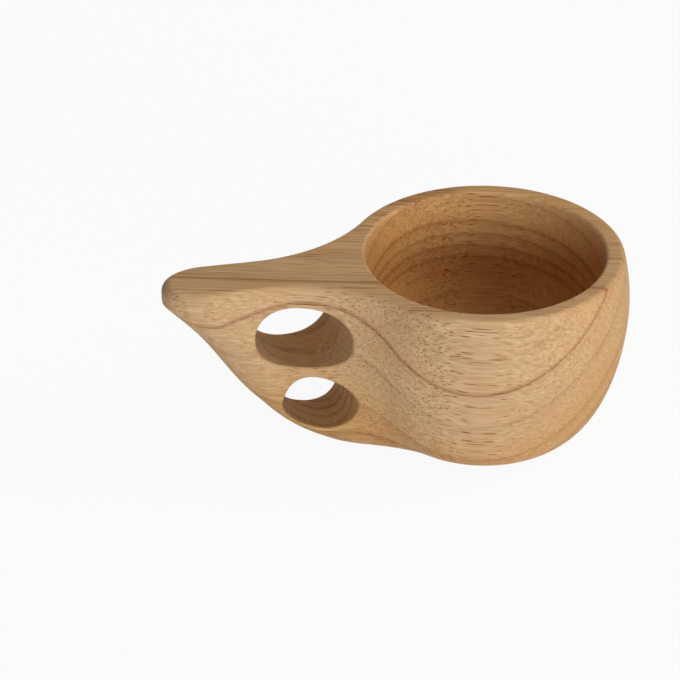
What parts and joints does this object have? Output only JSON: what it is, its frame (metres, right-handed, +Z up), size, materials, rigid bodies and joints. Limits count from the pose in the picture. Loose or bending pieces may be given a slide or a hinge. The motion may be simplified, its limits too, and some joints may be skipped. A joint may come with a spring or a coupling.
{
  "type": "kuksa",
  "caption": "Wooden kuksa cup: a rounded bowl with a flat rim and a flat-topped handle pierced by finger holes, carved in pale wood with a clear satin finish.",
  "frame": {"origin": "centre of the flat base, on the bowl's axis", "axes": "+Z up along the bowl's axis, the handle along -X, the finger holes run along Y"},
  "size_m": [0.1473, 0.0904, 0.063],
  "materials": {
    "rubberwood": "clear satin"
  },
  "bodies": {
    "root": {"bowl": "rubberwood", "handle": "rubberwood"}
  },
  "joints": []
}
